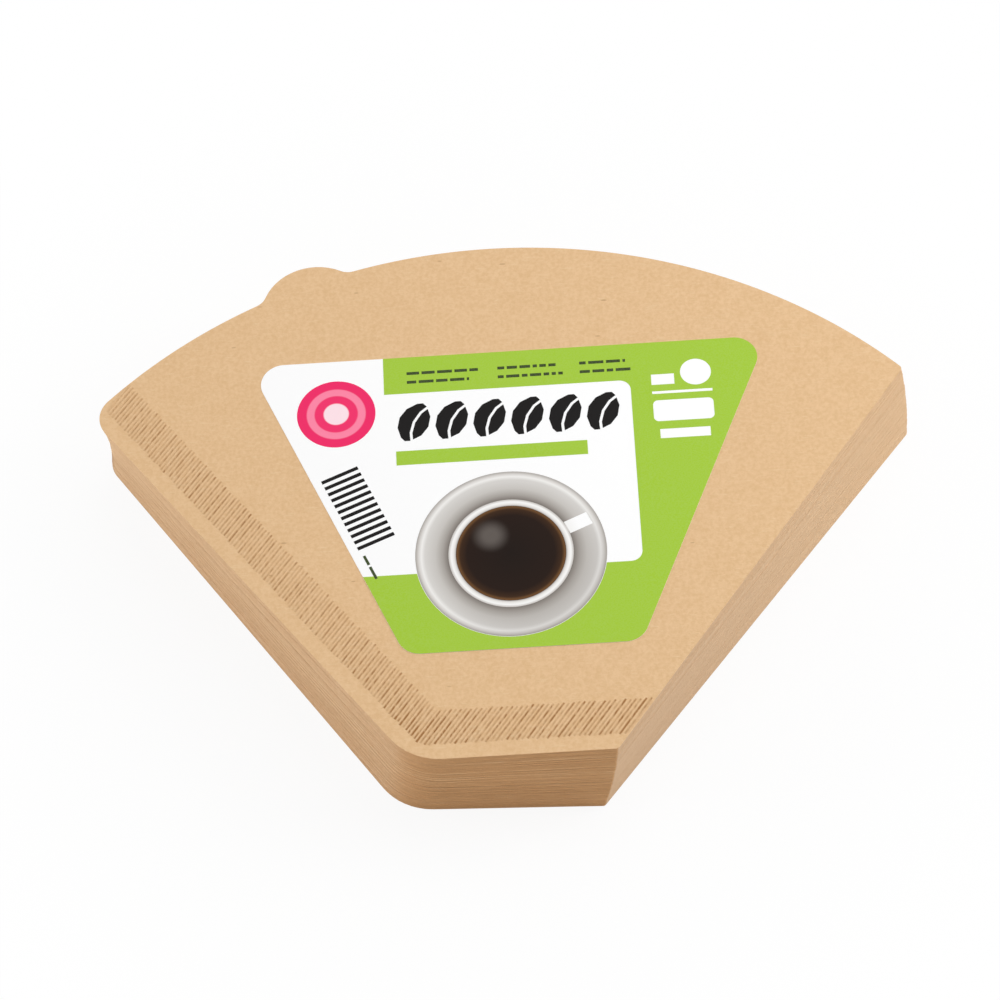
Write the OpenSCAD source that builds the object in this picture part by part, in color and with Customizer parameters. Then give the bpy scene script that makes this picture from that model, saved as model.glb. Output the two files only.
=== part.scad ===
// A labelled stack of flat paper coffee filters for a wedge-shaped dripper, in millimetres.
// Each filter is one sheet of kraft paper folded along its right side, crimped along its left side
// and its bottom, and open at the curved mouth. The stack lies flat on the XY plane. The bottom
// filter's centre line runs along +Y, from its bottom seam to its mouth, and the origin is the middle
// of that line. The filters press tightest along the crimped side seam and spring apart toward the
// fold, so the stack is a slight wedge. It also twists, leans and bellies a little on the way up.

/* [Filter outline] */
// Width of the bottom seam, before its corners are rounded
bottom_seam_w = 43; // [38:0.5:56]
// Angle between the centre line and each slanted side
side_angle = 36.9; // [33:0.1:40]
// Radius of the curved mouth
mouth_r = 122; // [112:0.5:132]
// Distance of the mouth's centre of curvature above the bottom seam
mouth_centre = 6.5; // [2:0.5:12]
// Radius of the corner between the bottom seam and the side seam
seam_corner_r = 13.5; // [8:0.5:15]
// Radius of the corner between the side seam and the mouth
mouth_corner_r = 6.1; // [3:0.1:8]
// Radius of the two ends of the fold
fold_end_r = 1.2; // [0.5:0.1:2.5]

/* [Finger tab] */
// Direction of the tab from the mouth's centre of curvature, left of the centre line
tab_angle = 19.9; // [14:0.1:26]
// Radius of the tab's round end
tab_r = 12; // [9:0.5:14]
// How far the tab stands out of the mouth's curve
tab_reach = 4.8; // [3:0.1:7]
// Radius of the hollow on each side of the tab
tab_blend_r = 4; // [2:0.5:7]

/* [Paper] */
// Thickness of one ply
ply_t = 0.12; // [0.1:0.01:0.14]
// Slit between the two plies
pocket_gap = 0.02; // [0.01:0.005:0.03]

/* [Crimped seam] */
// Plain margin outside the crimp along the side seam
side_margin = 4.1; // [3:0.1:6]
// Plain margin outside the crimp along the bottom seam
bottom_margin = 3.4; // [2:0.1:5]
// Width of the crimped band
crimp_band_w = 8.1; // [6:0.1:10]
// Spacing of the crimp's grooves, across them
crimp_pitch = 0.86; // [0.8:0.02:1.2]
// Width of one groove
crimp_groove_w = 0.36; // [0.24:0.02:0.4]
// Depth of one groove in the upper ply
crimp_depth = 0.07; // [0.04:0.01:0.08]

/* [Stack] */
// Number of filters in the stack
filter_count = 80; // [20:1:80]
// Air between two filters along the side seam
seam_air = 0.017; // [0.01:0.001:0.03]
// Angle by which the top filter is raised from the side seam toward the fold
wedge_angle = 1.09; // [0:0.01:1.5]
// Turn of the top filter against the bottom one
stack_twist = 2.1; // [0:0.1:3]
// Distance above the bottom seam of the point that the stack twists about
twist_centre = 42.6; // [20:0.1:80]
// How far the top filter lies to the right of the bottom one
lean_x = 1.4; // [-2:0.1:2]
// How far the top filter lies toward the mouth from the bottom one
lean_y = 0.4; // [-2:0.1:2]
// How far the middle of the stack bellies out to the right
belly = 1.2; // [0:0.1:2]
// Largest uneven offset of one filter in the stack
scatter = 0.1; // [0:0.01:0.2]

/* [Label] */
// Height of the label
label_h = 75.2; // [70:0.2:78]
// Width of the label's lower edge, before its corners are rounded
label_bottom_w = 50; // [44:0.5:56]
// Angle between the label's centre line and each slanted side
label_angle = 23.2; // [20:0.1:25]
// Radius of the label's corners
label_corner_r = 5.1; // [3:0.1:7]
// Distance of the label's lower edge above the bottom seam
label_y = 25.3; // [22:0.1:28]
// Distance of the label's centre line to the right of the filter's
label_x = 3.1; // [0:0.1:5]
// Thickness of the label
label_t = 0.1; // [0.06:0.01:0.2]
// Thickness of a printed field
print_t = 0.02; // [0.01:0.01:0.05]
// Blank gap between two printed fields
print_gap = 0.1; // [0.05:0.05:0.3]

/* [Printed fields] */
// Distance of the green field's left edge to the left of the label's centre line
green_left = 27.6; // [22:0.1:32]
// Width of the white window in the green field
window_w = 54; // [50:0.5:58]
// Height of the green band above the window
top_band_h = 9.5; // [7:0.1:12]
// Distance of the white window's lower edge above the label's
window_y = 19.6; // [16:0.1:24]
// Corner radius of the white window
window_corner_r = 2.5; // [1:0.5:5]
// Distance of the row of beans from each side of the window
row_inset = 2.2; // [1:0.1:3]
// Distance of the row of beans below the window's upper edge
row_drop = 2.2; // [1.5:0.1:3]
// Number of beans in the row
bean_count = 6; // [4:1:6]
// Length of one bean
bean_l = 10.8; // [9:0.1:11.4]
// Width of one bean
bean_w = 6.8; // [5.6:0.1:7]
// Lean of every bean to the right
bean_lean = 24; // [0:1:35]
// Radius of the slit's curve along a bean
slit_r = 9; // [7:0.5:14]
// Width of the slit
slit_w = 0.6; // [0.4:0.05:0.8]
// Gap between the row of beans and the green bar under it
bar_spacing = 1.9; // [1:0.1:3]
// How much shorter the green bar is than the row of beans
bar_short = 8; // [4:0.5:16]
// Height of the green bar
green_bar_h = 3.6; // [2:0.1:4]
// Radius of the round pink field
pink_r = 8.6; // [6:0.1:9]
// Gap between the pink field and the green one
pink_gap = 2; // [1:0.1:3]
// Distance of the saucer's centre to the left of the label's centre line
saucer_left = 1.6; // [0:0.1:4]
// Distance of the saucer's centre above the label's lower edge
saucer_y = 23.4; // [22:0.1:25]
// Radius of the saucer seen from above
saucer_r = 20.5; // [18:0.1:21]
// Radius of the cup's rim
cup_r = 13.4; // [11:0.1:13.8]
// Radius of the coffee in the cup
coffee_r = 11.8; // [9:0.1:12.4]
// Length of the cup's handle, seen from above
handle_l = 5.4; // [3:0.1:6]
// Width of the cup's handle
handle_w = 3.2; // [2:0.1:4]
// Number of stripes beside the label's left edge
stripe_count = 12; // [6:1:13]
// Spacing of the stripes
stripe_pitch = 1.7; // [1.4:0.05:1.8]
// Width of one stripe
stripe_w = 0.85; // [0.5:0.05:1]
// Length of one stripe
stripe_l = 8.6; // [6:0.1:9]
// Distance of the middle stripe above the label's lower edge
stripes_y = 34.5; // [32:0.1:36]
// Distance of the stripes' middle from the label's left edge
stripes_in = 6.2; // [5:0.1:7]
// Width of the white marks to the right of the window
mark_w = 13.2; // [10:0.1:14]
// Distance of the white marks from the window
mark_gap = 4.6; // [3:0.1:5]
// Radius of the round white mark
mark_r = 3.4; // [2.5:0.1:3.6]

/* [Hidden] */
$fn = 96;

KRAFT = [0.87, 0.73, 0.56];
KRAFT_EDGE = [0.80, 0.66, 0.50];
LABEL_WHITE = [0.98, 0.98, 0.97];
GREEN = [0.66, 0.81, 0.29];
DARK = [0.18, 0.15, 0.14];
PINK = [0.95, 0.24, 0.44];
GREY = [0.80, 0.78, 0.75];

// The filter's outline: seam_dir runs up the side seam, seam_in points from it into the paper.
filter_t = 2 * ply_t + pocket_gap;
half_bottom = bottom_seam_w / 2;
filter_h = mouth_centre + mouth_r;
seam_dir = [-sin(side_angle), cos(side_angle)];
seam_in = [cos(side_angle), sin(side_angle)];
seam_foot = [-half_bottom, 0];
mouth_c = [0, mouth_centre];
tab_c = mouth_c + (mouth_r + tab_reach - tab_r) * [-sin(tab_angle), cos(tab_angle)];

// The stack: step is the rise from one filter to the next along the side seam.
step = filter_t + seam_air;
last = filter_count - 1;
SCATTER_SEED = 41;
scatter_x = rands(-scatter, scatter, filter_count, SCATTER_SEED);
scatter_y = rands(-scatter, scatter, filter_count, SCATTER_SEED + 1);

// The label and its print, in the label's own frame: centre line along Y, lower edge at y = 0.
label_half = label_bottom_w / 2;
label_top_half = label_half + label_h * tan(label_angle);
window_x = window_w - green_left;
window_top = label_h - top_band_h;
window_h = window_top - window_y;
row_left = row_inset - green_left;
row_l = window_w - 2 * row_inset;
row_y = window_top - row_drop - bean_l / 2;
green_bar_y = row_y - bean_l / 2 - bar_spacing - green_bar_h;
bean_r = (pow(bean_l, 2) + pow(bean_w, 2)) / (4 * bean_w);
pink_c = [-green_left - pink_gap - pink_r, window_top - pink_r / 2];
cup_c = [-saucer_left, saucer_y];
HANDLE_ANGLE = 24;
BEAN_SIDES = 14;
SLIT_SIDES = 20;
mark_x = window_x + mark_gap;

EPS = 0.01;
OUT = 3;
FAR = 200;

function length(v) = sqrt(v * v);
function unit(v) = v / length(v);
// Distance up the side seam, from its foot, of the point that lies inset inside the seam and back
// inside the mouth.
function up_to_mouth(inset, back) =
    let (q = seam_foot + inset * seam_in - mouth_c)
    -q * seam_dir + sqrt(pow(q * seam_dir, 2) - q * q + pow(mouth_r - back, 2));
// The same for the centre of a rounding of radius r that touches both the seam and the mouth.
function mouth_round_up(r) = up_to_mouth(r, r);
// Centre of the circle of radius r that touches circles (c1, r1) and (c2, r2) from outside, on the
// side of the line from c1 to c2 that side (1 or -1) names.
function touching_circle(c1, r1, c2, r2, r, side) =
    let (d = length(c2 - c1), along = (pow(r1 + r, 2) - pow(r2 + r, 2) + d * d) / (2 * d),
         across = sqrt(pow(r1 + r, 2) - along * along), u = unit(c2 - c1))
    c1 + along * u + side * across * [-u[1], u[0]];

// Points of the arc of radius r about c from angle a0 to angle a1, both ends included.
function arc_points(c, r, a0, a1, steps) =
    [for (k = [0 : steps]) let (a = a0 + (a1 - a0) * k / steps) c + r * [cos(a), sin(a)]];
// The same arc without its first point.
function later_points(c, r, a0, a1, steps) = arc_points(c, r, a0 + (a1 - a0) / steps, a1, steps - 1);
function angle_of(v) = atan2(v[1], v[0]);
// The filter's outline with few points on each arc, counterclockwise from the seam corner.
function plain_outline() =
    let (corner_c = seam_foot + [seam_corner_r / tan(45 + side_angle / 2), seam_corner_r],
         lobe_c = seam_foot + mouth_round_up(mouth_corner_r) * seam_dir + mouth_corner_r * seam_in,
         fold_top = seam_foot + mouth_round_up(0) * seam_dir,
         right_c = touching_circle(mouth_c, mouth_r, tab_c, tab_r, tab_blend_r, -1),
         left_c = touching_circle(mouth_c, mouth_r, tab_c, tab_r, tab_blend_r, 1),
         seam_side = 180 + side_angle)
    concat(
        arc_points(corner_c, seam_corner_r, seam_side, 270, 3),
        [[half_bottom, 0]],
        arc_points(mouth_c, mouth_r, 180 - angle_of(fold_top - mouth_c), angle_of(right_c - mouth_c), 6),
        arc_points(tab_c, tab_r, angle_of(right_c - tab_c), angle_of(left_c - tab_c), 4),
        arc_points(mouth_c, mouth_r, angle_of(left_c - mouth_c), angle_of(lobe_c - mouth_c), 2),
        later_points(lobe_c, mouth_corner_r, angle_of(lobe_c - mouth_c), seam_side, 3)
    );

// What a rounding of radius r takes off a straight corner at p whose sides leave at angles a0 and a1.
// Every rounding's circle crosses its sides by EPS, so that no two edges only just touch.
module corner_waste(p, a0, a1, r) {
    half = (a1 - a0) / 2;
    mid = [cos((a0 + a1) / 2), sin((a0 + a1) / 2)];
    t = r / tan(half);
    c = p + r / sin(half) * mid;
    difference() {
        polygon([p - OUT * mid, p + t * [cos(a0), sin(a0)], c, p + t * [cos(a1), sin(a1)]]);
        translate(c - EPS * mid) circle(r);
    }
}

// What a rounding of radius r takes off the corner between the left side and the mouth.
module mouth_corner_waste(r) {
    up = mouth_round_up(r);
    c = seam_foot + up * seam_dir + r * seam_in;
    corner = seam_foot + mouth_round_up(EPS) * seam_dir;
    difference() {
        polygon([seam_foot + up * seam_dir, corner + OUT * unit(corner - c),
                 mouth_c + mouth_r * unit(c - mouth_c), c]);
        translate(c + EPS * unit(corner - c)) circle(r);
    }
}

// Fills the corner between the mouth and one side (1 left, -1 right) of the tab, up to a hollow.
module tab_blend(side) {
    c = touching_circle(mouth_c, mouth_r, tab_c, tab_r, tab_blend_r, side);
    at_mouth = mouth_c + (mouth_r - EPS) * unit(c - mouth_c);
    difference() {
        polygon(side > 0 ? [tab_c, c, at_mouth] : [at_mouth, c, tab_c]);
        translate(c) circle(tab_blend_r + EPS);
    }
}

module fan() {
    reach = FAR * tan(side_angle);
    intersection() {
        polygon([[-half_bottom, 0], [half_bottom, 0], [half_bottom + reach, FAR], [-half_bottom - reach, FAR]]);
        translate(mouth_c) circle(mouth_r);
    }
}

module filter_outline() {
    difference() {
        union() {
            fan();
            translate(tab_c) circle(tab_r);
            tab_blend(1);
            tab_blend(-1);
        }
        corner_waste([-half_bottom, 0], 0, 90 + side_angle, seam_corner_r);
        corner_waste([half_bottom, 0], 90 - side_angle, 180, fold_end_r);
        mouth_corner_waste(mouth_corner_r);
        mirror([1, 0]) mouth_corner_waste(fold_end_r);
    }
}

// Everything that lies at least from_side inside the side seam and from_bottom above the bottom seam.
module inside_seams(from_side, from_bottom) {
    foot = -half_bottom + from_side / cos(side_angle) - from_bottom * tan(side_angle);
    rise = FAR - from_bottom;
    polygon([[foot, from_bottom], [FAR, from_bottom], [FAR, FAR], [foot - rise * tan(side_angle), FAR]]);
}

module crimp_band() {
    inner_corner = -half_bottom + side_margin / cos(side_angle) - bottom_margin * tan(side_angle);
    difference() {
        inside_seams(side_margin, bottom_margin);
        inside_seams(side_margin + crimp_band_w, bottom_margin + crimp_band_w);
        corner_waste([inner_corner, bottom_margin], 0, 90 + side_angle,
                     seam_corner_r - (side_margin + bottom_margin) / 2);
    }
}

// The crimp's grooves run parallel to the fold. The first is the one that still fits inside the mouth.
module crimp_grooves() {
    across = [cos(side_angle), -sin(side_angle)];
    inset = side_margin + crimp_band_w;
    start = (seam_foot + up_to_mouth(inset, crimp_groove_w) * seam_dir + inset * seam_in) * across;
    end = [half_bottom, 0] * across - crimp_groove_w;
    intersection() {
        crimp_band();
        filter_outline();
        for (s = [end : -crimp_pitch : start])
            translate(s * across)
                rotate(-side_angle)
                    translate([-crimp_groove_w / 2, -FAR]) square([crimp_groove_w, 2 * FAR]);
    }
}

// The slit between the plies: closed by the fold and the crimp, open at the mouth.
module pocket() {
    intersection() {
        inside_seams(side_margin + crimp_band_w, bottom_margin + crimp_band_w);
        mirror([1, 0]) inside_seams(ply_t, 0);
        translate([-FAR, 0]) square([2 * FAR, 2 * FAR]);
    }
}

// Puts a filter's own frame, with the bottom seam on y = 0, at its place in the stack.
module in_stack(i) {
    up = last == 0 ? 0 : i / last;
    uneven = i == 0 || i == last ? 0 : 1;
    translate([0, -filter_h / 2, i * step])
        translate(seam_foot)
            rotate(a = -wedge_angle * up, v = [seam_dir[0], seam_dir[1], 0])
                translate(-seam_foot)
                    translate([lean_x * up + belly * 4 * up * (1 - up) + uneven * scatter_x[i],
                               twist_centre + lean_y * up + uneven * scatter_y[i], 0])
                        rotate([0, 0, stack_twist * up])
                            translate([0, -twist_centre, 0])
                                children();
}

module top_filter() {
    color(KRAFT)
        in_stack(last)
            difference() {
                linear_extrude(filter_t) filter_outline();
                translate([0, 0, ply_t]) linear_extrude(pocket_gap) pocket();
                translate([0, 0, filter_t - crimp_depth]) linear_extrude(crimp_depth + 1) crimp_grooves();
            }
}

module lower_filters() {
    color(KRAFT_EDGE)
        for (i = [0 : last - 1])
            in_stack(i) linear_extrude(filter_t) polygon(plain_outline());
}

module label_outline() {
    difference() {
        polygon([[-label_half, 0], [label_half, 0], [label_top_half, label_h], [-label_top_half, label_h]]);
        for (s = [0, 1])
            mirror([s, 0]) {
                corner_waste([-label_half, 0], 0, 90 + label_angle, label_corner_r);
                corner_waste([-label_top_half, label_h], label_angle - 90, 0, label_corner_r);
            }
    }
}

// Puts the label's frame on the top filter, raised by z above it.
module on_label(z) {
    in_stack(last) translate([label_x, label_y, filter_t + z]) children();
}

module label() {
    color(LABEL_WHITE) on_label(0) linear_extrude(label_t) label_outline();
}

module printed() {
    on_label(label_t) linear_extrude(print_t) children();
}

module rounded_bar(x, y, w, h, r) {
    translate([x, y + r]) square([w, h - 2 * r]);
    translate([x + r, y]) square([w - 2 * r, h]);
    for (cx = [x + r, x + w - r], cy = [y + r, y + h - r])
        translate([cx, cy]) circle(r);
}

module window() {
    rounded_bar(-green_left - 2 * window_corner_r, window_y, window_w + 2 * window_corner_r, window_h,
                window_corner_r);
}

// The white marks in the green column to the right of the window.
module column_marks() {
    translate([mark_x + mark_w - mark_r, window_top + mark_r / 3]) circle(mark_r);
    translate([mark_x, window_top - mark_r / 2]) square([mark_w - 2.4 * mark_r, 0.8 * mark_r]);
    translate([mark_x, window_top - 1.2 * mark_r]) square([mark_w, 0.2 * mark_r]);
    rounded_bar(mark_x, window_top - 3.3 * mark_r, mark_w, 1.6 * mark_r, mark_r / 3);
    translate([mark_x + mark_r / 3, window_top - 4.6 * mark_r]) square([mark_w - mark_r / 1.5, 0.7 * mark_r]);
}

module handle() {
    translate(cup_c)
        rotate(HANDLE_ANGLE)
            translate([cup_r - EPS, -handle_w / 2]) square([handle_l, handle_w]);
}

module green_print() {
    color(GREEN) printed()
        difference() {
            union() {
                difference() {
                    label_outline();
                    window();
                    translate([-FAR - green_left, window_y]) square([FAR, FAR]);
                    column_marks();
                }
                translate([row_left, green_bar_y]) square([row_l - bar_short, green_bar_h]);
            }
            translate(cup_c) circle(saucer_r + print_gap);
        }
}

// A disc with few sides, for small curves.
module coarse_disc(r, sides) {
    polygon(arc_points([0, 0], r, 0, 360 - 360 / sides, sides - 1));
}

// A coffee bean: two halves on either side of a curved slit.
module bean() {
    middle = bean_r - bean_w / 2;
    difference() {
        intersection() {
            translate([-middle, 0]) coarse_disc(bean_r, BEAN_SIDES);
            translate([middle, 0]) coarse_disc(bean_r, BEAN_SIDES);
        }
        translate([slit_r, 0])
            difference() {
                coarse_disc(slit_r + slit_w / 2, SLIT_SIDES);
                coarse_disc(slit_r - slit_w / 2, SLIT_SIDES);
            }
    }
}

module dark_print() {
    left_dir = [-sin(label_angle), cos(label_angle)];
    left_in = [cos(label_angle), sin(label_angle)];
    middle = [-label_half, 0] + stripes_y / cos(label_angle) * left_dir + stripes_in * left_in;
    color(DARK) printed() {
        difference() {
            union() {
                for (k = [0 : bean_count - 1])
                    translate([row_left + (k + 0.5) * row_l / bean_count, row_y]) rotate(-bean_lean) bean();
                for (k = [0 : stripe_count - 1])
                    translate(middle - (k - (stripe_count - 1) / 2) * stripe_pitch * left_dir)
                        rotate(label_angle)
                            translate([-stripe_l / 2, -stripe_w / 2]) square([stripe_l, stripe_w]);
            }
            // Dark ink is left out wherever the saucer or the pink field is printed.
            translate(cup_c) circle(saucer_r + print_gap);
            translate(pink_c) circle(pink_r + print_gap);
        }
        translate(cup_c) circle(coffee_r);
    }
}

module pink_print() {
    color(PINK) printed() translate(pink_c) circle(pink_r);
}

// The saucer around the cup: the cup's rim and handle stay white.
module grey_print() {
    color(GREY) printed()
        difference() {
            translate(cup_c) circle(saucer_r);
            translate(cup_c) circle(cup_r);
            handle();
        }
}

top_filter();
lower_filters();
label();
green_print();
dark_print();
pink_print();
grey_print();
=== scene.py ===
import math
import random

import bpy
from mathutils import Matrix, Vector, noise


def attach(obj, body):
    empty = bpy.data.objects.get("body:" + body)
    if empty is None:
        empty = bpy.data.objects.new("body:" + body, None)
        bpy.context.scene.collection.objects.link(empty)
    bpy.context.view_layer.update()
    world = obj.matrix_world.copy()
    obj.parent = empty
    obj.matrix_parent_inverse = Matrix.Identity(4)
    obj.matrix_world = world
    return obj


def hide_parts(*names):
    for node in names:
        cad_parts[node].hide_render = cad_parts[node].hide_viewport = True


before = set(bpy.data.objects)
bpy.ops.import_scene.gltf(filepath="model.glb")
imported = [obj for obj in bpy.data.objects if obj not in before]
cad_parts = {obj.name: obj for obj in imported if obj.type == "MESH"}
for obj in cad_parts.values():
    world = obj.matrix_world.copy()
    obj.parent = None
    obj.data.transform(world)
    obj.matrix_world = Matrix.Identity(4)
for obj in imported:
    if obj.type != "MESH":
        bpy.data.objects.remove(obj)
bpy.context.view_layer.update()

# A stack of flat paper coffee filters with a printed label on the top one. Each filter is a folded blank
# of kraft paper, crimped along its left side and its bottom and open at its curved mouth.
#
# Sizes are in millimetres and angles in degrees, as in the solids. Meshes are drawn in a filter's own
# frame, with the bottom seam on y = 0, and then put in their place in the stack. A place s is measured
# across the fold's direction, and a place t along it.
MM = 0.001

# The filter's outline
BOTTOM_SEAM_W = 43.0
SIDE_ANGLE = math.radians(36.9)
MOUTH_R = 122.0
MOUTH_CENTRE = 6.5
SEAM_CORNER_R = 13.5
MOUTH_CORNER_R = 6.1
FOLD_END_R = 0.8
TAB_ANGLE = math.radians(19.9)
TAB_R = 12.0
TAB_REACH = 4.8
TAB_BLEND_R = 4.0

# The two plies, the notch between their free edges, and the air between them
PLY_T = 0.12
POCKET_GAP = 0.02
FILTER_T = 2 * PLY_T + POCKET_GAP
NOTCH = 0.3
MOUTH_EDGE = 0.5

# The crimp: its plain margins, its band, how its ends wander, and where the rolls press differently
SIDE_MARGIN = 3.5
BOTTOM_MARGIN = 3.4
MOUTH_MARGIN = 0.3
FOLD_MARGIN = 0.7
CRIMP_BAND_W = 8.2
CRIMP_CORNER_R = 3.5
CRIMP_PITCH = 0.86
CRIMP_WANDER = 0.2
RIDGE_H = 0.15
BAND_T = 0.04
BAND_LIFT = 0.008
BAND_SINK = 0.03
SEAM_CORNER_S = -21.0
SEAM_CORNER_SPAN = 7.0
FOLD_PRESS_S = 4.0
FOLD_PRESS_SPAN = 12.0
MOUTH_PRESS_S = -25.0
MOUTH_PRESS_SPAN = 25.0

# The stack
FILTER_COUNT = 80
SEAM_AIR = 0.017
WEDGE_ANGLE = math.radians(1.09)
STACK_TWIST = math.radians(2.1)
TWIST_CENTRE = 42.6
LEAN = (1.4, 0.4)
BELLY = 0.5

# How far the sheets lie out of line: corners that slipped, each sheet's drift from the one below, its
# cut edge's waves, and how much of that the bottom sheet keeps, which lies flat on the table
FOLD_SLIP = 3.5
FOLD_SLIP_REACH = 45.0
SEAM_SLIP = 2.0
SEAM_SLIP_REACH = 25.0
SLIP_ALONG = 90.0
DRIFT = 0.025
DRIFT_KEPT = 0.6
EDGE_WAVE = 0.06
WAVES_PER_METRE = 45
RIPPLES_PER_METRE = 160
BOTTOM_SHEET_SHARE = 0.3
FRONT_EDGE_Y = 12.0
FOLD_STRAIGHT = 2.0

# The label and its print
LABEL_X = 3.1
LABEL_Y = 25.3
LABEL_T = 0.1
LABEL_HALF = 25.0
LABEL_ANGLE = math.radians(23.2)
PRINT_T = 0.02
WINDOW_TOP = 65.7
CUP_C = (-1.6, 23.4)
CUP_R = 13.4
COFFEE_R = 11.8
SAUCER_R = 20.5
GLOW_C = (CUP_C[0] - 4.2, CUP_C[1] + 4.6)
PINK_C = (-38.2, 61.4)
PINK_DISC_R = 2.6
PINK_RING_IN_R = 4.6
PINK_RING_OUT_R = 6.3
INK_EDGE = 0.3
DASH_GAP = 0.55
SHORTEST_DASH = 0.4

# Drawing: the widest turn of one step on an arc, the shortest straight that is drawn, and the distance
# under which two points are one
ARC_STEP = 0.13
SHORTEST_RUN = 0.01
TOUCHING = 0.002

HALF_BOTTOM = BOTTOM_SEAM_W / 2
FILTER_H = MOUTH_CENTRE + MOUTH_R
ALONG_FOLD = Vector((math.sin(SIDE_ANGLE), math.cos(SIDE_ANGLE), 0))
ACROSS_FOLD = Vector((math.cos(SIDE_ANGLE), -math.sin(SIDE_ANGLE), 0))
SEAM_DIR = Vector((-math.sin(SIDE_ANGLE), math.cos(SIDE_ANGLE), 0))
SEAM_IN = Vector((math.cos(SIDE_ANGLE), math.sin(SIDE_ANGLE), 0))
SEAM_FOOT = Vector((-HALF_BOTTOM, 0, 0))
MOUTH_C = Vector((0, MOUTH_CENTRE, 0))
TAB_DIR = Vector((-math.sin(TAB_ANGLE), math.cos(TAB_ANGLE), 0))
TAB_C = MOUTH_C + (MOUTH_R + TAB_REACH - TAB_R) * TAB_DIR


# Places in the stack

def millimetres(x, y, z=0.0):
    """A move by millimetres."""
    return Matrix.Translation(Vector((x, y, z)) * MM)


def in_stack(index, slip=(0.0, 0.0)):
    """Where the filter of that index lies: raised, tilted toward the fold, leaning and twisted."""
    up = index / (FILTER_COUNT - 1)
    foot = millimetres(*SEAM_FOOT)
    lean_x = LEAN[0] * up + BELLY * 4 * up * (1 - up) + slip[0]
    lean_y = TWIST_CENTRE + LEAN[1] * up + slip[1]
    return (millimetres(0, -FILTER_H / 2, index * (FILTER_T + SEAM_AIR))
            @ foot @ Matrix.Rotation(-WEDGE_ANGLE * up, 4, SEAM_DIR) @ foot.inverted()
            @ millimetres(lean_x, lean_y)
            @ Matrix.Rotation(STACK_TWIST * up, 4, "Z")
            @ millimetres(0, -TWIST_CENTRE))


TOP = FILTER_COUNT - 1
ON_TOP = in_stack(TOP)
ON_LABEL = ON_TOP @ millimetres(LABEL_X, LABEL_Y, FILTER_T)


# Drawing the filter's blank

def heading(v):
    """The direction of a vector, counterclockwise from the right."""
    return math.atan2(v.y, v.x)


def tangent_inset(radius):
    """How far from a sharp bottom corner its rounding touches the bottom seam."""
    return radius / math.tan(math.pi / 4 + SIDE_ANGLE / 2)


def corner_centre(radius):
    """Centre of the rounding that touches the side seam and the mouth."""
    start = SEAM_FOOT + radius * SEAM_IN
    q = start - MOUTH_C
    along = q.dot(SEAM_DIR)
    up = -along + math.sqrt(along ** 2 - q.dot(q) + (MOUTH_R - radius) ** 2)
    return start + up * SEAM_DIR


def hollow_centre(side):
    """Centre of the hollow between the mouth and the tab, on the tab's left (1) or right (-1)."""
    line = TAB_C - MOUTH_C
    r1 = MOUTH_R + TAB_BLEND_R
    r2 = TAB_R + TAB_BLEND_R
    d = line.length
    along = (r1 ** 2 - r2 ** 2 + d ** 2) / (2 * d)
    across = math.sqrt(r1 ** 2 - along ** 2)
    u = line.normalized()
    return MOUTH_C + along * u + side * across * Vector((-u.y, u.x, 0))


def blank_arcs():
    """The outline's arcs, counterclockwise from the seam corner: centre, radius, first and last heading."""
    corner = SEAM_FOOT + Vector((tangent_inset(SEAM_CORNER_R), SEAM_CORNER_R, 0))
    fold_foot = Vector((HALF_BOTTOM - tangent_inset(FOLD_END_R), FOLD_END_R, 0))
    fold_top = corner_centre(FOLD_END_R)
    fold_top.x = -fold_top.x
    lobe = corner_centre(MOUTH_CORNER_R)
    right = hollow_centre(-1)
    left = hollow_centre(1)
    return [
        (corner, SEAM_CORNER_R, math.pi + SIDE_ANGLE, 1.5 * math.pi),
        (fold_foot, FOLD_END_R, -0.5 * math.pi, -SIDE_ANGLE),
        (fold_top, FOLD_END_R, -SIDE_ANGLE, heading(fold_top - MOUTH_C)),
        (MOUTH_C, MOUTH_R, heading(fold_top - MOUTH_C), heading(right - MOUTH_C)),
        (right, TAB_BLEND_R, heading(MOUTH_C - right), heading(TAB_C - right)),
        (TAB_C, TAB_R, heading(right - TAB_C), heading(left - TAB_C)),
        (left, TAB_BLEND_R, heading(TAB_C - left), heading(MOUTH_C - left)),
        (MOUTH_C, MOUTH_R, heading(left - MOUTH_C), heading(lobe - MOUTH_C)),
        (lobe, MOUTH_CORNER_R, heading(lobe - MOUTH_C), math.pi + SIDE_ANGLE),
    ]


def on_arc(arc, angle):
    """The point of an arc at a heading."""
    centre, radius = arc[:2]
    return centre + radius * Vector((math.cos(angle), math.sin(angle), 0))


def draw_run(start, end, spacing):
    """Extrudes the drawn line's end in equal steps."""
    run = end - start
    steps = max(1, round(run.length / spacing))
    for _ in range(steps):
        bpy.ops.mesh.extrude_region_move(TRANSFORM_OT_translate={"value": run * MM / steps})


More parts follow.
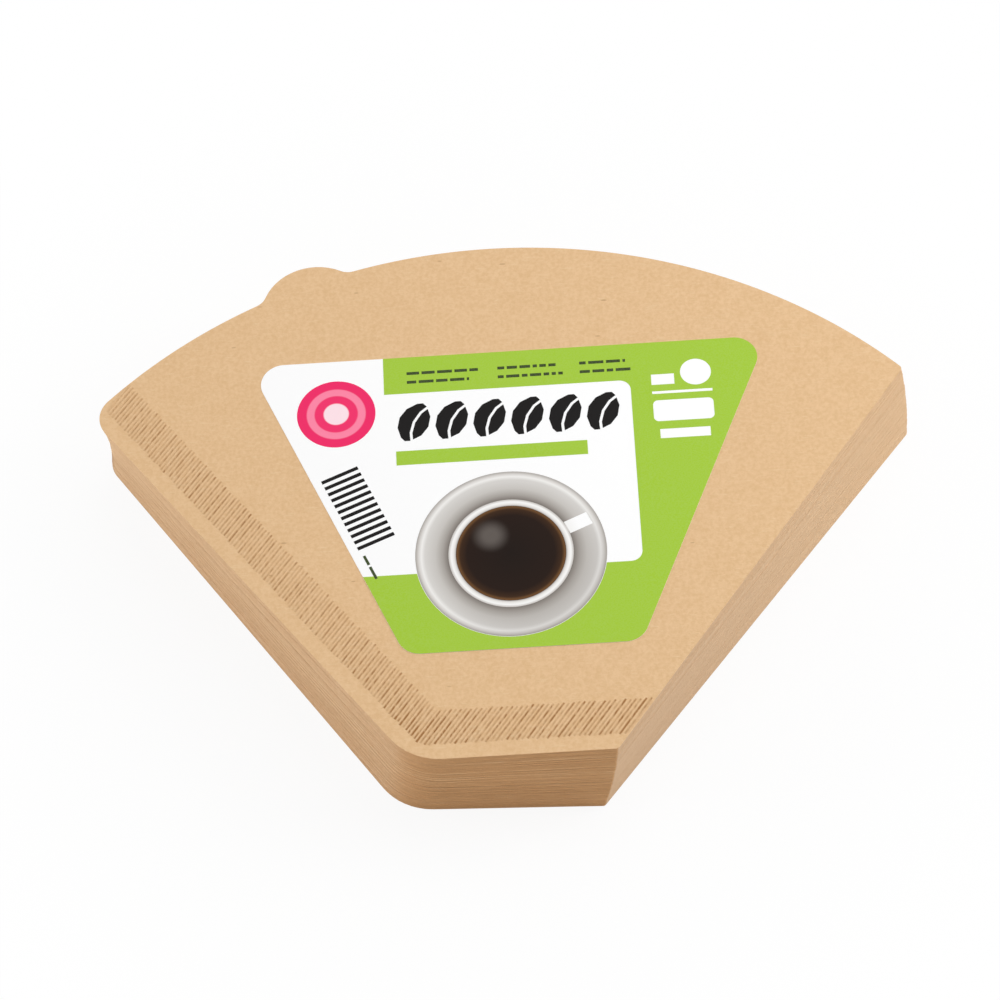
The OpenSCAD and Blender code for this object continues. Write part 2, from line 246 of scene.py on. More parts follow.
def draw_blank(name, spacing):
    """A flat face of the filter's outline, left in edit mode with all of it selected."""
    bpy.ops.object.select_all(action="DESELECT")
    bpy.ops.mesh.primitive_plane_add(size=MM)
    blank = bpy.context.object
    blank.name = name
    bpy.ops.object.mode_set(mode="EDIT")
    bpy.ops.mesh.merge(type="CENTER")
    arcs = blank_arcs()
    pen = first = on_arc(arcs[0], arcs[0][2])
    bpy.ops.transform.translate(value=first * MM)
    for arc in arcs:
        centre, radius, start, end = arc
        sweep = (end - start + math.pi) % (2 * math.pi) - math.pi
        if (on_arc(arc, start) - pen).length > SHORTEST_RUN:
            draw_run(pen, on_arc(arc, start), spacing)
        steps = max(3, math.ceil(abs(sweep) * radius / spacing), math.ceil(abs(sweep) / ARC_STEP))
        bpy.ops.mesh.spin(steps=steps, angle=-sweep, center=centre * MM, axis=(0, 0, 1))
        pen = on_arc(arc, end)
    draw_run(pen, first, spacing)
    bpy.ops.mesh.select_all(action="SELECT")
    bpy.ops.mesh.remove_doubles(threshold=TOUCHING * MM)
    bpy.ops.mesh.edge_face_add()
    return blank


def raise_plies(blank):
    """Gives the blank its two plies, with a notch between their free edges at the mouth."""
    for rise in (PLY_T, POCKET_GAP / 2, POCKET_GAP / 2, PLY_T):
        bpy.ops.mesh.extrude_region_move(TRANSFORM_OT_translate={"value": (0, 0, rise * MM)})
    bpy.ops.mesh.select_all(action="SELECT")
    bpy.ops.mesh.normals_make_consistent(inside=False)
    bpy.ops.object.mode_set(mode="OBJECT")
    notch_z = (PLY_T + POCKET_GAP / 2) * MM
    pull = (MOUTH_R - NOTCH) / MOUTH_R
    for v in blank.data.vertices:
        reach = (v.co / MM - MOUTH_C).xy.length
        if abs(v.co.z - notch_z) < 0.001 * MM and reach > MOUTH_R - MOUTH_EDGE:
            v.co.x *= pull
            v.co.y = (MOUTH_CENTRE + (v.co.y / MM - MOUTH_CENTRE) * pull) * MM
    return blank


# The crimped seam

def circle_rise(s, centre, radius, side):
    """Place t where the line at s meets a circle, on its near (-1) or far (1) side."""
    across = s - centre.dot(ACROSS_FOLD)
    if abs(across) >= radius:
        return None
    return centre.dot(ALONG_FOLD) + side * math.sqrt(radius ** 2 - across ** 2)


def crimp_span(s):
    """Both ends of the crimp line at s, and where it would leave the paper, each as a place t."""
    def bottom_line(y):
        """Place t where the line at s is y above the bottom seam."""
        return (y + s * math.sin(SIDE_ANGLE)) / math.cos(SIDE_ANGLE)

    def side_line(d):
        """Place t where the line at s is d inside the side seam."""
        reach = d + SEAM_FOOT.dot(SEAM_IN) - s * math.cos(2 * SIDE_ANGLE)
        return reach / math.sin(2 * SIDE_ANGLE)

    low = max(bottom_line(BOTTOM_MARGIN), side_line(SIDE_MARGIN))
    high = max(bottom_line(BOTTOM_MARGIN + CRIMP_BAND_W), side_line(SIDE_MARGIN + CRIMP_BAND_W))
    r = CRIMP_CORNER_R
    y = BOTTOM_MARGIN + r
    x = SEAM_FOOT.x + (SIDE_MARGIN + r - y * math.sin(SIDE_ANGLE)) / math.cos(SIDE_ANGLE)
    centre = Vector((x, y, 0))
    rounded = circle_rise(s, centre, r, -1)
    if rounded is not None:
        p = s * ACROSS_FOLD + rounded * ALONG_FOLD
        if p.x < x and (p - centre).dot(SEAM_DIR) < 0:
            low = rounded
    return low, high, circle_rise(s, MOUTH_C, MOUTH_R - MOUTH_MARGIN, 1)


# One crimp across its pitch: place in pitches, height as a share of the ridge's, and how dark it is, from
# pressed paper and painted shade in the groove, or below zero how much paler, a painted highlight on the
# ridge.
CRIMP_PROFILE = ((-0.5, 1.0, -0.1), (-0.3, 0.85, 0.25), (-0.16, 0.3, 0.7), (0.0, 0.0, 1.0),
                 (0.16, 0.3, 0.7), (0.3, 0.85, 0.15))
# Rows along a crimp: share of its length, and shares of the full relief and of the full darkness.
CRIMP_ROWS = ((0.0, -0.1, 0.0), (0.012, 0.04, 0.9), (0.05, 0.5, 1.2), (0.12, 0.9, 1.0), (0.3, 1.0, 1.0),
              (0.5, 1.0, 1.0), (0.7, 1.0, 1.0), (0.88, 0.9, 1.0), (0.95, 0.5, 1.2), (0.988, 0.04, 0.9),
              (1.0, -0.1, 0.0))


def crimp_force(s):
    """How hard the rolls pressed the crimp at s, and how much harder its far end than its near one. They
    press more toward the fold and round the seam's corner, and less toward the mouth."""
    corner = math.exp(-((s - SEAM_CORNER_S) / SEAM_CORNER_SPAN) ** 2)
    fold = max(0.0, (s - FOLD_PRESS_S) / FOLD_PRESS_SPAN)
    mouth = min(1.0, max(0.0, (MOUTH_PRESS_S - s) / MOUTH_PRESS_SPAN))
    return 0.52 + 0.2 * fold + 0.17 * corner - 0.12 * mouth, 0.5 * fold - 1.1 * corner


def crimp_columns():
    """The columns of the embossed band from left to right: place, ends, height, force and lean. Every
    other crimp is pressed harder, and each a little by chance."""
    last = HALF_BOTTOM * math.cos(SIDE_ANGLE) - FOLD_MARGIN
    dice = random.Random(7)
    columns = []
    k = 0
    while True:
        s = last - k * CRIMP_PITCH
        low, high, room = crimp_span(s)
        if high > room:
            break
        nudge = dice.uniform(-0.05, 0.05)
        height = RIDGE_H * dice.uniform(0.75, 1.1)
        force, lean = crimp_force(s)
        force *= dice.uniform(0.85, 1.15) * (1.32 if k % 2 else 0.68)
        low += dice.uniform(-CRIMP_WANDER, CRIMP_WANDER)
        high = min(high + dice.uniform(-CRIMP_WANDER, CRIMP_WANDER), room)
        for place, lift, press in reversed(CRIMP_PROFILE):
            across = s + (place + nudge) * CRIMP_PITCH
            columns.append((across, low, high, height * lift, force * press, lean))
        k += 1
    columns.reverse()
    return columns


def crimp_band():
    """The embossed band: one fine grid whose columns follow the crimps and whose rows cross them."""
    columns = crimp_columns()
    last_column = len(columns) - 1
    last_row = len(CRIMP_ROWS) - 1
    bpy.ops.object.select_all(action="DESELECT")
    bpy.ops.mesh.primitive_grid_add(x_subdivisions=last_column, y_subdivisions=last_row, size=1)
    band = bpy.context.object
    band.name = "crimp_band"
    pressed = band.data.attributes.new("pressed", "FLOAT", "POINT")
    for v in band.data.vertices:
        s, low, high, lift, press, lean = columns[round((v.co.x + 0.5) * last_column)]
        share, relief, dark = CRIMP_ROWS[round((v.co.y + 0.5) * last_row)]
        t = low + share * (high - low)
        v.co = (s * ACROSS_FOLD + t * ALONG_FOLD) * MM
        uneven = 0.5 + 0.5 * noise.noise(Vector((s * 0.55, t * 0.22, 3.1)))
        coarse = 0.5 + 0.5 * noise.noise(Vector((s * 0.06, t * 0.05, 8.4)))
        z = lift * relief * (0.75 + 0.5 * uneven) + BAND_LIFT
        v.co.z = (FILTER_T + (z if relief > 0 else -BAND_SINK)) * MM
        leaning = 1 + lean * (share - 0.5)
        # The darkness is that of pressed paper and of painted shade in the groove; below zero it is a painted
        # highlight on the ridge.
        pressed.data[v.index].value = press * dark * leaning * (0.55 + 0.6 * uneven + 0.4 * coarse)
    skin = band.modifiers.new("skin", "SOLIDIFY")
    skin.thickness = BAND_T * MM
    skin.offset = -1
    bpy.ops.object.modifier_apply(modifier=skin.name)
    return band


# The stack

def add_tone(mesh, value):
    """Notes how much lighter or darker than the others a sheet is."""
    tone = mesh.attributes.new("sheet_tone", "FLOAT", "POINT")
    tone.data.foreach_set("value", [value] * len(mesh.vertices))


def feather(mesh, seed, free):
    """Makes one sheet's cut edge a little uneven along its length. Its folded edge stays straight."""
    fold = (HALF_BOTTOM * math.cos(SIDE_ANGLE) - FOLD_STRAIGHT) * MM
    for v in mesh.vertices:
        if v.co.dot(ACROSS_FOLD) > fold:
            continue
        amount = free if v.co.y < FRONT_EDGE_Y * MM else 0.5 * free
        at = (v.co.x * WAVES_PER_METRE, v.co.y * WAVES_PER_METRE, seed * 3.7)
        wave = noise.noise_vector(Vector(at))
        at = (v.co.x * RIPPLES_PER_METRE, v.co.y * RIPPLES_PER_METRE, seed * 5.3)
        ripple = noise.noise_vector(Vector(at))
        v.co.x += (wave.x + 0.5 * ripple.x) * amount * MM
        v.co.y += (wave.y + 0.5 * ripple.y) * amount * MM


def slip_corner(mesh, corner, edge, outward, reach, amount):
    """Draws a corner of the mouth along its straight edge, and the mouth beside it less and less."""
    for v in mesh.vertices:
        p = v.co / MM
        beside = 1 - (corner - p).dot(outward) / reach
        along = 1 - (corner - p).dot(edge) / SLIP_ALONG
        share = min(1, max(0, beside)) * min(1, max(0, along))
        v.co += edge * share ** 2 * (3 - 2 * share) * amount * MM


def join_onto(target, others):
    """Joins the others onto the target, as one piece."""
    bpy.ops.object.select_all(action="DESELECT")
    for piece in others:
        piece.select_set(True)
    target.select_set(True)
    bpy.context.view_layer.objects.active = target
    bpy.ops.object.join()
    return bpy.context.object


def lower_sheets():
    """Every filter under the top one, each a little out of line with its neighbours."""
    draw_blank("blank", 4.0)
    blank = raise_plies(bpy.context.object)
    bpy.ops.object.shade_smooth_by_angle(angle=math.radians(30))
    dice = random.Random(49)
    # The cut edges' waves start from the clock unless they are given a seed.
    noise.seed_set(49)
    at_seam = corner_centre(0)
    at_fold = Vector((-at_seam.x, at_seam.y, 0))
    drift = [0.0, 0.0]
    sheets = []
    for i in range(TOP):
        sheet = blank.copy()
        sheet.data = blank.data.copy()
        bpy.context.collection.objects.link(sheet)
        drift = [DRIFT_KEPT * d + dice.gauss(0, DRIFT) for d in drift]
        keep = BOTTOM_SHEET_SHARE if i == 0 else 1.0
        feather(sheet.data, i, EDGE_WAVE * keep)
        up = i / TOP
        fold_slip = FOLD_SLIP * (1 - up)
        seam_slip = -SEAM_SLIP * up * (1 - up ** 8)
        slip_corner(sheet.data, at_fold, ALONG_FOLD, ACROSS_FOLD, FOLD_SLIP_REACH, fold_slip)
        slip_corner(sheet.data, at_seam, SEAM_DIR, -SEAM_IN, SEAM_SLIP_REACH, seam_slip)
        add_tone(sheet.data, dice.gauss(-0.2, 0.6) + (1.3 if dice.random() < 0.15 else 0))
        sheet.data.transform(in_stack(i, [keep * d for d in drift]))
        sheets.append(sheet)
    bpy.data.objects.remove(blank)
    stack = join_onto(sheets[0], sheets)
    stack.name = "lower_sheets"
    return stack


def top_sheet():
    """The top filter with its crimped seam."""
    draw_blank("top_sheet", 1.5)
    sheet = raise_plies(bpy.context.object)
    sheet = join_onto(sheet, [crimp_band()])
    sheet.data.transform(ON_TOP)
    bpy.ops.object.shade_smooth_by_angle(angle=math.radians(50))
    return sheet


# Fine print: short dashes in rows

def dash_row(x, y, length, height, angle, dice):
    """Places and sizes of the dashes of one row of small print."""
    dashes = []
    at = 0.0
    while at < length:
        w = min(dice.uniform(0.9, 3.4), length - at)
        if w > SHORTEST_DASH:
            middle = at + w / 2
            dashes.append((x + middle * math.cos(angle), y + middle * math.sin(angle), w, height, angle))
        at += w + DASH_GAP
    return dashes


def small_print_rows():
    """Two rows over each third of the window's top, and one along the label's left edge."""
    dice = random.Random(5)
    rows = []
    for x, length in ((-22.5, 17), (-2.5, 15), (15.5, 12)):
        for y in (WINDOW_TOP + 5.2, WINDOW_TOP + 2.9):
            rows += dash_row(x, y, length * dice.uniform(0.8, 1), 0.75, 0, dice)
    left_edge = Vector((-math.sin(LABEL_ANGLE), math.cos(LABEL_ANGLE)))
    inward = Vector((math.cos(LABEL_ANGLE), math.sin(LABEL_ANGLE)))
    start = Vector((-LABEL_HALF, 0)) + 19.6 * left_edge + 2.4 * inward
    rows += dash_row(start.x, start.y, 6.4, 0.6, heading(left_edge), dice)
    return rows


def print_dashes(name, dashes):
    """Thin flat dashes on the label's face, as one piece."""
    pieces = []
    for x, y, w, h, angle in dashes:
        bpy.ops.object.select_all(action="DESELECT")
        bpy.ops.mesh.primitive_plane_add(size=1)
        dash = bpy.context.object
        bpy.ops.object.mode_set(mode="EDIT")
        bpy.ops.mesh.extrude_region_move(TRANSFORM_OT_translate={"value": (0, 0, PRINT_T * 1.5 * MM)})
        bpy.ops.mesh.select_all(action="SELECT")
        bpy.ops.mesh.normals_make_consistent(inside=False)
        bpy.ops.object.mode_set(mode="OBJECT")
        dash.data.transform(ON_LABEL @ millimetres(x, y, LABEL_T) @ Matrix.Rotation(angle, 4, "Z")
                            @ Matrix.Diagonal((w * MM, h * MM, 1, 1)))
        pieces.append(dash)
    printed_rows = join_onto(pieces[0], pieces)
    printed_rows.name = name
    return printed_rows


# Materials

def colour(code):
    """An sRGB hex colour as the linear colour that a shader socket takes."""
    parts = [int(code[i:i + 2], 16) / 255 for i in (1, 3, 5)]
    return [c / 12.92 if c <= 0.04045 else ((c + 0.055) / 1.055) ** 2.4 for c in parts] + [1.0]


def add(tree, kind, inputs, out=0, **settings):
    """Adds a node with its settings, gives its inputs links, values or hex colours, and hands back one of
    its outputs."""
    node = tree.nodes.new(kind)
    for key, value in settings.items():
        setattr(node, key, value)
    for key, value in inputs.items():
        if isinstance(value, bpy.types.NodeSocket):
            tree.links.new(value, node.inputs[key])
        else:
            node.inputs[key].default_value = colour(value) if isinstance(value, str) else value
    return node.outputs[out]


def mottled(tree, place, size_mm, detail, rough, low, high, to_low=0.0, to_high=1.0):
    """Soft patches about size_mm across: noise between low and high, drawn out to the span that is
    wanted."""
    cloud = add(tree, "ShaderNodeTexNoise", {"Vector": place, "Scale": 1 / (size_mm * MM), "Detail": detail,
                                             "Roughness": rough})
    return add(tree, "ShaderNodeMapRange", {"Value": cloud, "From Min": low, "From Max": high,
                                            "To Min": to_low, "To Max": to_high},
               interpolation_type="SMOOTHSTEP")


def over(tree, under, tint, share, strength):
    """A colour with a tint laid over it, as strongly as a share times a strength."""
    amount = add(tree, "ShaderNodeMath", {0: share, 1: strength}, operation="MULTIPLY")
    return add(tree, "ShaderNodeMix", {0: amount, 6: under, 7: tint}, out=2, data_type="RGBA")


def passing(tree, start, end, value, low, high, at_low=0.0, at_high=1.0):
    """A colour that passes from one to another as a value goes from low to high, with no step there."""
    share = add(tree, "ShaderNodeMapRange", {"Value": value, "From Min": low, "From Max": high,
                                             "To Min": at_low, "To Max": at_high},
                interpolation_type="SMOOTHSTEP")
    return add(tree, "ShaderNodeMix", {0: share, 6: start, 7: end}, out=2, data_type="RGBA")


def facing(tree, way):
    """How far the surface faces that way, up to 1."""
    normal = add(tree, "ShaderNodeNewGeometry", {}, out="Normal")
    return add(tree, "ShaderNodeVectorMath", {0: normal, 1: way}, out="Value", operation="DOT_PRODUCT")


def new_material(name, roughness, ior):
    """A material with its node tree and its shader."""
    material = bpy.data.materials.new(name)
    material.use_nodes = True
    tree = material.node_tree
    shader = tree.nodes["Principled BSDF"]
    shader.inputs["Roughness"].default_value = roughness
    shader.inputs["IOR"].default_value = ior
    return material, tree, shader


FRONT = (0, -1, 0)
FRONT_SHADE_BROWN = "#D19F6C"
FIBRE_PALE = "#EFD3AA"
SHIVE_BROWN = "#9A6A3E"


def kraft_pulp(tree, place, dark, light):
    """Unbleached pulp: clouds of denser fibre, single fibres lying every way, and a few dark shives. Gives
    its colour and the height of its tooth. A real fibre is finer than it is drawn here, so that it shows."""
    clouds = mottled(tree, place, 4.0, 4, 0.6, 0.3, 0.7)
    grain = mottled(tree, place, 0.9, 3, 0.7, 0.3, 0.7)
    share = add(tree, "ShaderNodeMix", {0: 0.75, 2: clouds, 3: grain}, data_type="FLOAT")
    paper = add(tree, "ShaderNodeMix", {0: share, 6: dark, 7: light}, out=2, data_type="RGBA")
    height = grain
    for turn, shift in ((0.5, 0.3), (1.7, 0.9), (2.6, 1.7)):
        lain = add(tree, "ShaderNodeMapping", {"Vector": place, "Rotation": (0, 0, turn),
                                               "Scale": (1, 7, 1), "Location": (shift, 0, 0)})
        fibre = mottled(tree, lain, 2.6, 1, 0.4, 0.66, 0.76)
        paper = over(tree, paper, FIBRE_PALE, fibre, 0.22)
        height = add(tree, "ShaderNodeMath", {0: height, 1: fibre}, operation="ADD")
    for turn, size_mm in ((0.9, 9.0), (2.3, 12.0)):
        lain = add(tree, "ShaderNodeMapping", {"Vector": place, "Rotation": (0, 0, turn),
                                               "Scale": (1, 3.2, 1)})
        far = add(tree, "ShaderNodeTexVoronoi", {"Vector": lain, "Scale": 1 / (size_mm * MM)}, out="Distance")
        shive = add(tree, "ShaderNodeMapRange", {"Value": far, "From Min": 0.035, "From Max": 0.075,
                                                 "To Min": 1, "To Max": 0},
                    interpolation_type="SMOOTHSTEP")
        chance = add(tree, "ShaderNodeSeparateColor", {0: far.node.outputs["Color"]})
        picked = add(tree, "ShaderNodeMath", {0: chance, 1: 0.7}, operation="GREATER_THAN")
        shive = add(tree, "ShaderNodeMath", {0: shive, 1: picked}, operation="MULTIPLY")
        paper = over(tree, paper, SHIVE_BROWN, shive, 0.4)
    return paper, height


def finish_kraft(tree, shader, paper, height, strength):
    """Gives kraft paper its colour and its fine tooth."""
    tooth = add(tree, "ShaderNodeBump", {"Height": height, "Strength": strength, "Distance": 0.03 * MM})
    tree.links.new(paper, shader.inputs["Base Color"])
    tree.links.new(tooth, shader.inputs["Normal"])


def kraft_face():
    """Unbleached kraft filter paper, uncoated and loosely felted: a matt tan face with a fine tooth. The
    crimping rolls press its grooves hard, which turns them darker, with painted shade added in them; the
    ridges between them get a painted highlight."""
    material, tree, shader = new_material("kraft_paper", 0.86, 1.45)
    place = add(tree, "ShaderNodeTexCoord", {}, out="Object")
    paper, height = kraft_pulp(tree, place, "#DDB586", "#E8C397")
    # Painted shade: faces turned to the front are browner.
    paper = passing(tree, paper, FRONT_SHADE_BROWN, facing(tree, FRONT), 0.65, 0.98)
    pressed = add(tree, "ShaderNodeAttribute", {}, out="Fac", attribute_name="pressed")
    along = add(tree, "ShaderNodeMapping", {"Vector": place, "Rotation": (0, 0, SIDE_ANGLE),
                                            "Scale": (1, 0.35, 1)})
    patches = mottled(tree, along, 0.9, 2, 0.6, 0.38, 0.6, 0.6, 1.36)
    # Pressed paper and painted shade: the grooves darken.
    paper = over(tree, paper, "#A47443", pressed, patches)
    # Painted highlight: the ridges, where the value is below zero, turn paler.
    paper = over(tree, paper, "#F6DCB6", pressed, -0.5)
    finish_kraft(tree, shader, paper, height, 0.45)
    return material


def kraft_edges():
    """The same paper seen on its edges: sheet by sheet a little lighter or darker where it is cut, even
    where it is folded, and browner where the edges face the front, along the bottom seam, which is painted
    shade. The fold's face is greyer, and darker toward the bottom seam, which is also painted shade."""
    material, tree, shader = new_material("kraft_paper_edges", 0.9, 1.45)
    place = add(tree, "ShaderNodeTexCoord", {}, out="Object")
    paper, height = kraft_pulp(tree, place, "#DAB48A", "#E6C39B")
    front = facing(tree, FRONT)
    # Painted shade: edges that face the front are browner, and so are the pale sheets among them.
    paper = passing(tree, paper, FRONT_SHADE_BROWN, front, 0.48, 0.98)
    pale = passing(tree, "#F0D6B2", "#F6CB98", front, 0.48, 0.98)

    along = add(tree, "ShaderNodeVectorMath", {0: place, 1: ALONG_FOLD}, out="Value",
                operation="DOT_PRODUCT")
    # The fold's face turns greyer, and darker toward the bottom seam, which is painted shade.
    fold_grey_and_shade = passing(tree, "#C9A988", "#DFBF98", along, -0.04, 0.09)
    folded = add(tree, "ShaderNodeMapRange", {"Value": facing(tree, ACROSS_FOLD), "From Min": 0.9,
                                              "From Max": 0.98},
                 interpolation_type="SMOOTHSTEP")
    paper = over(tree, paper, fold_grey_and_shade, folded, 0.85)

    across = add(tree, "ShaderNodeMath", {0: front}, operation="ABSOLUTE")
    cut_across = add(tree, "ShaderNodeMapRange", {"Value": across, "From Min": 0.65, "From Max": 0.95,
                                                  "To Min": 0.5, "To Max": 1},
                     interpolation_type="SMOOTHSTEP")
    softened = add(tree, "ShaderNodeMath", {0: folded, 1: 0.15}, operation="MULTIPLY")
    contrast = add(tree, "ShaderNodeMath", {0: cut_across, 1: softened}, operation="SUBTRACT")

    sheet = add(tree, "ShaderNodeAttribute", {}, out="Fac", attribute_name="sheet_tone")
    patches = mottled(tree, place, 8.0, 1, 0.5, 0.35, 0.65, 0.6, 1.3)
    tone = add(tree, "ShaderNodeMath", {0: sheet, 1: patches}, operation="MULTIPLY")
    tone = add(tree, "ShaderNodeMath", {0: tone, 1: 0.24}, operation="MULTIPLY")
    stretched = add(tree, "ShaderNodeMapping", {"Vector": place, "Scale": (0.16, 0.16, 3)})
    streaks = mottled(tree, stretched, 1.0, 3, 0.6, 0.3, 0.7, -1, 1)
    shade = add(tree, "ShaderNodeMath", {0: streaks, 1: 0.22, 2: tone}, operation="MULTIPLY_ADD")
    shade = add(tree, "ShaderNodeMath", {0: shade, 1: contrast}, operation="MULTIPLY")
    paper = passing(tree, paper, pale, shade, 0, 1, 0, 0.8)
    paper = passing(tree, paper, "#9F7449", shade, 0, -1, 0, 0.8)
    finish_kraft(tree, shader, paper, height, 0.4)
    return material


def label_place(tree, x, y):
    """The place on the label around a point of it, in millimetres."""
    centre = ON_LABEL @ Vector((x * MM, y * MM, 0))
    place = add(tree, "ShaderNodeTexCoord", {}, out="Object")
    turned = add(tree, "ShaderNodeMapping", {"Vector": place, "Location": centre,
                                             "Rotation": (0, 0, STACK_TWIST), "Scale": (MM, MM, 1)},
                 vector_type="TEXTURE")
    return add(tree, "ShaderNodeVectorMath", {0: turned, 1: (1, 1, 0)}, operation="MULTIPLY")


def rings(tree, x, y, span, stops):
    """Colours at distances from a point of the label, passing evenly from each to the next."""
    reach = add(tree, "ShaderNodeVectorMath", {0: label_place(tree, x, y)}, out="Value", operation="LENGTH")
    share = add(tree, "ShaderNodeMapRange", {"Value": reach, "From Min": span[0], "From Max": span[1]})
    ringed = add(tree, "ShaderNodeValToRGB", {0: share})
    bar = ringed.node.color_ramp
    while len(bar.elements) < len(stops):
        bar.elements.new(0.5)
    for element, (at, code) in zip(bar.elements, stops):
        element.position = (at - span[0]) / (span[1] - span[0])
        element.color = colour(code)
    return ringed


def coated_paper(name):
    """Coated label paper: a smooth silk finish that hardly shines, with the faint waviness of thin glued
    stock."""
    material, tree, shader = new_material(name, 0.5, 1.4)
    shader.inputs["Specular IOR Level"].default_value = 0.12
    place = add(tree, "ShaderNodeTexCoord", {}, out="Object")
    wave = add(tree, "ShaderNodeTexNoise", {"Vector": place, "Scale": 1 / (6.0 * MM), "Detail": 2,
                                            "Roughness": 0.5})
    bump = add(tree, "ShaderNodeBump", {"Height": wave, "Strength": 0.15, "Distance": 0.05 * MM})
    tree.links.new(bump, shader.inputs["Normal"])
    return material, tree, shader


def printed(name, code):
    """Offset ink on the coated label: an even field with a very fine screen, drawn coarser than a real one
    so that it shows."""
    material, tree, shader = coated_paper(name)
    place = add(tree, "ShaderNodeTexCoord", {}, out="Object")
    screen = mottled(tree, place, 0.3, 1, 0.5, 0.3, 0.7)
    ink = over(tree, code, "#FFFFFF", screen, 0.03)
    tree.links.new(ink, shader.inputs["Base Color"])
    return material


def label_paper():
    """The label's white, with the printed shading of the cup's rim."""
    material, tree, shader = coated_paper("coated_label_paper")
    white = rings(tree, *CUP_C, (10, 24), (
        (COFFEE_R - 0.2, "#8F8780"), (COFFEE_R + 0.4, "#E9E6E2"), (COFFEE_R + 1.0, "#FBFAF8"),
        (CUP_R - 0.1, "#CFCAC5"), (CUP_R + 0.2, "#F6F5F3"), (CUP_R + 2.6, "#FFFFFF")))
    tree.links.new(white, shader.inputs["Base Color"])
    return material


def saucer_print():
    """The saucer's grey: shaded round the cup and on the side away from the light, pale on its lip."""
    material, tree, shader = coated_paper("printed_saucer")
    grey = rings(tree, *CUP_C, (12, 21), (
        (CUP_R, "#7E7771"), (CUP_R + 1.2, "#A9A39D"), (CUP_R + 2.8, "#C9C5C0"), (SAUCER_R - 2.1, "#D8D5D1"),
        (SAUCER_R - 1.3, "#F1EFEC"), (SAUCER_R - 0.7, "#DAD6D2"), (SAUCER_R, "#A8A29C")))
    lit = add(tree, "ShaderNodeVectorMath", {0: label_place(tree, *CUP_C), 1: (-0.03, 0.035, 0)},
              out="Value", operation="DOT_PRODUCT")
    grey = passing(tree, grey, "#8C857E", lit, -1, 0.2, 0.3, 0)
    tree.links.new(grey, shader.inputs["Base Color"])
    return material


def dark_ink():
    """Near-black ink, and the coffee with its brown edge and a soft window of light."""
    material, tree, shader = coated_paper("printed_dark")
    dark = rings(tree, *CUP_C, (0, 14), (
        (0, "#211814"), (COFFEE_R - 2.4, "#281B15"), (COFFEE_R - 0.9, "#3F2A1B"),
        (COFFEE_R - 0.2, "#735030"), (COFFEE_R + 0.1, "#1F1D1D")))
    glow = add(tree, "ShaderNodeVectorMath", {0: label_place(tree, *GLOW_C)}, out="Value",
               operation="LENGTH")
    dark = passing(tree, dark, "#8D857F", glow, 1.0, 4.6, 0.42, 0)
    tree.links.new(dark, shader.inputs["Base Color"])
    return material


def pink_ink():
    """Pink ink with a paler disc and ring left in it."""
    material, tree, shader = coated_paper("printed_pink")
    pink = rings(tree, *PINK_C, (0, 10), (
        (PINK_DISC_R, "#FFE3EA"), (PINK_DISC_R + INK_EDGE, "#F4376E"),
        (PINK_RING_IN_R, "#F4376E"), (PINK_RING_IN_R + INK_EDGE, "#FF89A8"),
        (PINK_RING_OUT_R, "#FF89A8"), (PINK_RING_OUT_R + INK_EDGE, "#F2306A")))
    tree.links.new(pink, shader.inputs["Base Color"])
    return material


# Build

kraft = kraft_face()
edges = kraft_edges()
for piece, node, slot, material in (
        (lower_sheets(), "lower_filters", "kraft_edge", edges),
        (top_sheet(), "top_filter", "kraft", kraft)):
    piece.data.materials.clear()
    piece.data.materials.append(material)
    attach(piece, "root")
    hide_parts(node)

for node, material in (("label", label_paper()), ("green_print", printed("printed_green", "#A4CA3C")),
                       ("dark_print", dark_ink()), ("pink_print", pink_ink()),
                       ("grey_print", saucer_print())):
    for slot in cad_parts[node].material_slots:
        slot.material = material

small_print = print_dashes("small_print", small_print_rows())
small_print.data.materials.append(printed("printed_small", "#3B4A22"))
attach(small_print, "root")


# Floor, light and camera

def floor():
    """A white table: it takes the stack's soft shadow, and farther out it is as white as the backdrop. It
    lies a hair under the lowest sheet, so that the two don't share a face."""
    bpy.ops.object.select_all(action="DESELECT")
    bpy.ops.mesh.primitive_plane_add(size=6, location=(0, 0, -0.02 * MM))
    table = bpy.context.object
    table.name = "floor"
    material, tree, shader = new_material("white_table", 0.9, 1.5)
    shader.inputs["Base Color"].default_value = (0.92, 0.92, 0.92, 1)
    place = add(tree, "ShaderNodeTexCoord", {}, out="Object")
    far = add(tree, "ShaderNodeVectorMath", {0: place}, out="Value", operation="LENGTH")
    whiter = add(tree, "ShaderNodeMapRange", {"Value": far, "From Min": 0.07, "From Max": 0.16,
                                              "To Min": 0.9, "To Max": 1},
                 interpolation_type="SMOOTHSTEP")
    seen = add(tree, "ShaderNodeLightPath", {}, out="Is Camera Ray")
    share = add(tree, "ShaderNodeMath", {0: seen, 1: whiter}, operation="MULTIPLY")
    white = add(tree, "ShaderNodeEmission", {"Color": (1, 1, 1, 1), "Strength": 1.0})
    both = add(tree, "ShaderNodeMixShader", {0: share, 1: shader.outputs[0], 2: white})
    tree.links.new(both, tree.nodes["Material Output"].inputs["Surface"])
    table.data.materials.append(material)


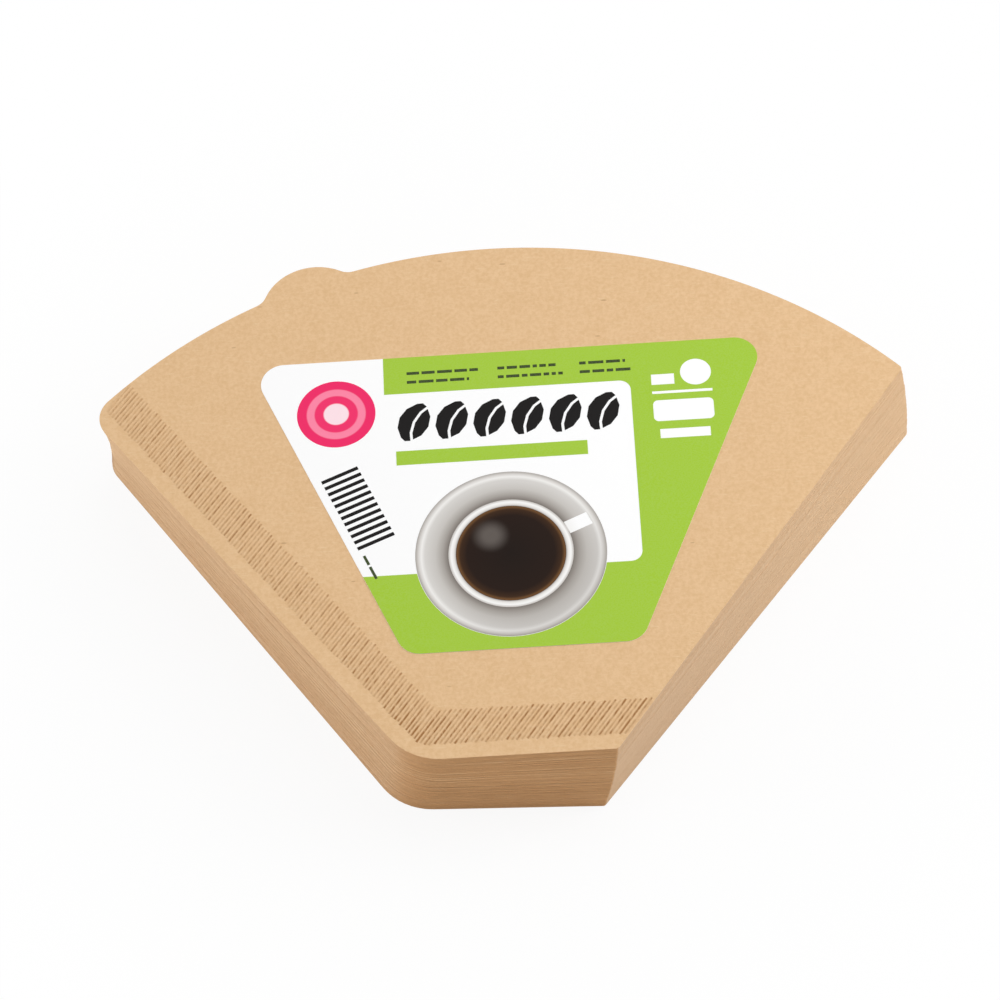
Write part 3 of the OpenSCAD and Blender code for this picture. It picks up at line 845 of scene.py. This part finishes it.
def softbox(name, place, width, power):
    """A square soft light that points at the stack."""
    lamp = bpy.data.lights.new(name, "AREA")
    lamp.shape = "SQUARE"
    lamp.size = width
    lamp.energy = power
    box = bpy.data.objects.new(name, lamp)
    bpy.context.scene.collection.objects.link(box)
    box.location = place
    box.rotation_euler = (-Vector(place)).to_track_quat("-Z", "Y").to_euler()


def backdrop(strength):
    """White all round: that strength on the object, and plain white to the camera."""
    world = bpy.data.worlds.new("studio")
    bpy.context.scene.world = world
    world.use_nodes = True
    tree = world.node_tree
    seen = add(tree, "ShaderNodeLightPath", {}, out="Is Camera Ray")
    level = add(tree, "ShaderNodeMapRange", {"Value": seen, "To Min": strength, "To Max": 1.0})
    tree.links.new(level, tree.nodes["Background"].inputs["Strength"])
    tree.nodes["Background"].inputs["Color"].default_value = (1, 1, 1, 1)


def camera():
    """The view of the photograph: a long lens, well above the table, turned slightly clockwise."""
    azimuth = math.radians(2.348)
    elevation = math.radians(57.509)
    roll = math.radians(-3.215)
    distance = 0.8886
    aim = Vector((-0.23, 13.06, 0)) * MM
    back = Vector((math.sin(azimuth) * math.cos(elevation), -math.cos(azimuth) * math.cos(elevation),
                   math.sin(elevation)))
    right = Vector((0, 0, 1)).cross(back).normalized()
    up = back.cross(right)
    turned_right = math.cos(roll) * right + math.sin(roll) * up
    turned_up = -math.sin(roll) * right + math.cos(roll) * up
    lens = bpy.data.cameras.new("camera")
    lens.sensor_width = 36
    lens.lens = 144
    lens.clip_start = 0.01
    body = bpy.data.objects.new("camera", lens)
    bpy.context.scene.collection.objects.link(body)
    axes = Matrix((turned_right, turned_up, back)).transposed().to_4x4()
    body.matrix_world = Matrix.Translation(aim + back * distance) @ axes
    bpy.context.scene.camera = body


floor()
backdrop(0.5)
softbox("key", place=(0.5, 0.7, 1.3), width=1.2, power=6.5)
softbox("right", place=(0.75, 0.15, 0.4), width=0.4, power=3.6)
softbox("left", place=(-1.3, 0.1, 0.25), width=0.8, power=9)
camera()
bpy.context.scene.view_settings.view_transform = "Standard"
